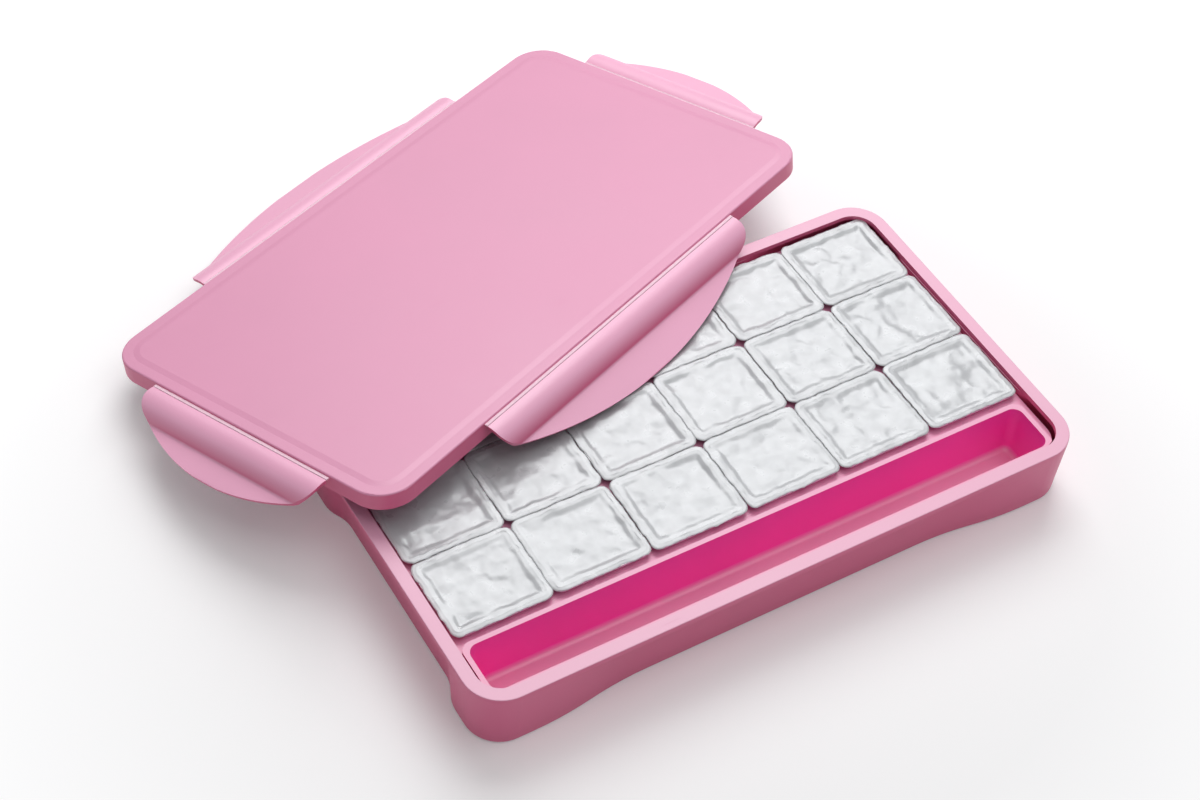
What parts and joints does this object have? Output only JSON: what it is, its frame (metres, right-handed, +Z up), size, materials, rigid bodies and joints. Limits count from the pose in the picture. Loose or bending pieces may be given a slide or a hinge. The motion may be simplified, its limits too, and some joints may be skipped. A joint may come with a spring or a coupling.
{
  "type": "gouache paint set",
  "caption": "Shallow scooped box with a brush trough and a grid of foil-sealed paint pots, under its askew lid with a hinged latch flap on each side.",
  "frame": {"origin": "centre of the box's foot, on the surface it stands on", "axes": "+Z up; +X along the box's long side, to the right as seen from the brush trough; +Y from the trough towards the back"},
  "size_m": [0.3648, 0.365, 0.054],
  "materials": {
    "box_pink": "satin moulded plastic",
    "insert_pink": "satin moulded plastic, deeper pink",
    "lid_pink": "satin moulded plastic, pale pink",
    "flap_pink": "satin moulded plastic",
    "hinge_pale": "flexed pale plastic",
    "pot_pale": "satin, slightly see-through plastic",
    "foil": "bright pearly foil, bare",
    "paint_01": "wet matt paint",
    "paint_02": "wet matt paint",
    "paint_03": "wet matt paint",
    "paint_04": "wet matt paint",
    "paint_05": "wet matt paint",
    "paint_06": "wet matt paint",
    "paint_10": "wet matt paint",
    "paint_11": "wet matt paint",
    "paint_12": "wet matt paint",
    "paint_18": "wet matt paint",
    "paint_covered": "wet matt paint"
  },
  "bodies": {
    "box": {"outer_box": "box_pink", "insert": "insert_pink", "pot_07": "pot_pale", "foil_07": "foil", "pot_08": "pot_pale", "foil_08": "foil", "pot_09": "pot_pale", "foil_09": "foil", "pot_13": "pot_pale", "foil_13": "foil", "pot_14": "pot_pale", "foil_14": "foil", "pot_15": "pot_pale", "foil_15": "foil", "pot_16": "pot_pale", "foil_16": "foil", "pot_17": "pot_pale", "foil_17": "foil", "paint_covered": "paint_covered"},
    "lid": {"lid": "lid_pink", "hinge_front": "hinge_pale", "hinge_back": "hinge_pale", "hinge_left": "hinge_pale", "hinge_right": "hinge_pale"},
    "flap_front_body": {"flap_front": "flap_pink"},
    "flap_back_body": {"flap_back": "flap_pink"},
    "flap_left_body": {"flap_left": "flap_pink"},
    "flap_right_body": {"flap_right": "flap_pink"},
    "pot_01_body": {"pot_01": "pot_pale", "foil_01": "foil", "paint_01": "paint_01"},
    "pot_02_body": {"pot_02": "pot_pale", "foil_02": "foil", "paint_02": "paint_02"},
    "pot_03_body": {"pot_03": "pot_pale", "foil_03": "foil", "paint_03": "paint_03"},
    "pot_04_body": {"pot_04": "pot_pale", "foil_04": "foil", "paint_04": "paint_04"},
    "pot_05_body": {"pot_05": "pot_pale", "foil_05": "foil", "paint_05": "paint_05"},
    "pot_06_body": {"pot_06": "pot_pale", "foil_06": "foil", "paint_06": "paint_06"},
    "pot_10_body": {"pot_10": "pot_pale", "foil_10": "foil", "paint_10": "paint_10"},
    "pot_11_body": {"pot_11": "pot_pale", "foil_11": "foil", "paint_11": "paint_11"},
    "pot_12_body": {"pot_12": "pot_pale", "foil_12": "foil", "paint_12": "paint_12"},
    "pot_18_body": {"pot_18": "pot_pale", "foil_18": "foil", "paint_18": "paint_18"}
  },
  "joints": [
    {"name": "flap_back", "type": "hinge", "parent": "lid", "child": "flap_back_body", "pos_m": [-0.06696, 0.22774, 0.01809], "axis": [0.934, 0.3566, -0.0227], "range_deg": [-74.6, 95.4]},
    {"name": "flap_front", "type": "hinge", "parent": "lid", "child": "flap_front_body", "pos_m": [-0.00373, 0.0642, 0.04995], "axis": [-0.934, -0.3566, 0.0227], "range_deg": [0, 115.7]},
    {"name": "flap_left", "type": "hinge", "parent": "lid", "child": "flap_left_body", "pos_m": [-0.18067, 0.09048, 0.03755], "axis": [-0.3548, 0.9177, -0.1788], "range_deg": [-72, 98]},
    {"name": "flap_right", "type": "hinge", "parent": "lid", "child": "flap_right_body", "pos_m": [0.10998, 0.20147, 0.03049], "axis": [0.3548, -0.9177, 0.1788], "range_deg": [-84, 86]},
    {"name": "lid_lift", "type": "slide", "parent": "box", "child": "lid", "axis": [0, 0, 1], "range_m": [0, 0.12]},
    {"name": "pot_01", "type": "slide", "parent": "box", "child": "pot_01_body", "axis": [0, 0, 1], "range_m": [0, 0.03]},
    {"name": "pot_02", "type": "slide", "parent": "box", "child": "pot_02_body", "axis": [0, 0, 1], "range_m": [0, 0.03]},
    {"name": "pot_03", "type": "slide", "parent": "box", "child": "pot_03_body", "axis": [0, 0, 1], "range_m": [0, 0.03]},
    {"name": "pot_04", "type": "slide", "parent": "box", "child": "pot_04_body", "axis": [0, 0, 1], "range_m": [0, 0.03]},
    {"name": "pot_05", "type": "slide", "parent": "box", "child": "pot_05_body", "axis": [0, 0, 1], "range_m": [0, 0.03]},
    {"name": "pot_06", "type": "slide", "parent": "box", "child": "pot_06_body", "axis": [0, 0, 1], "range_m": [0, 0.03]},
    {"name": "pot_10", "type": "slide", "parent": "box", "child": "pot_10_body", "axis": [0, 0, 1], "range_m": [0, 0.03]},
    {"name": "pot_11", "type": "slide", "parent": "box", "child": "pot_11_body", "axis": [0, 0, 1], "range_m": [0, 0.03]},
    {"name": "pot_12", "type": "slide", "parent": "box", "child": "pot_12_body", "axis": [0, 0, 1], "range_m": [0, 0.03]},
    {"name": "pot_18", "type": "slide", "parent": "box", "child": "pot_18_body", "axis": [0, 0, 1], "range_m": [0, 0.03]}
  ]
}
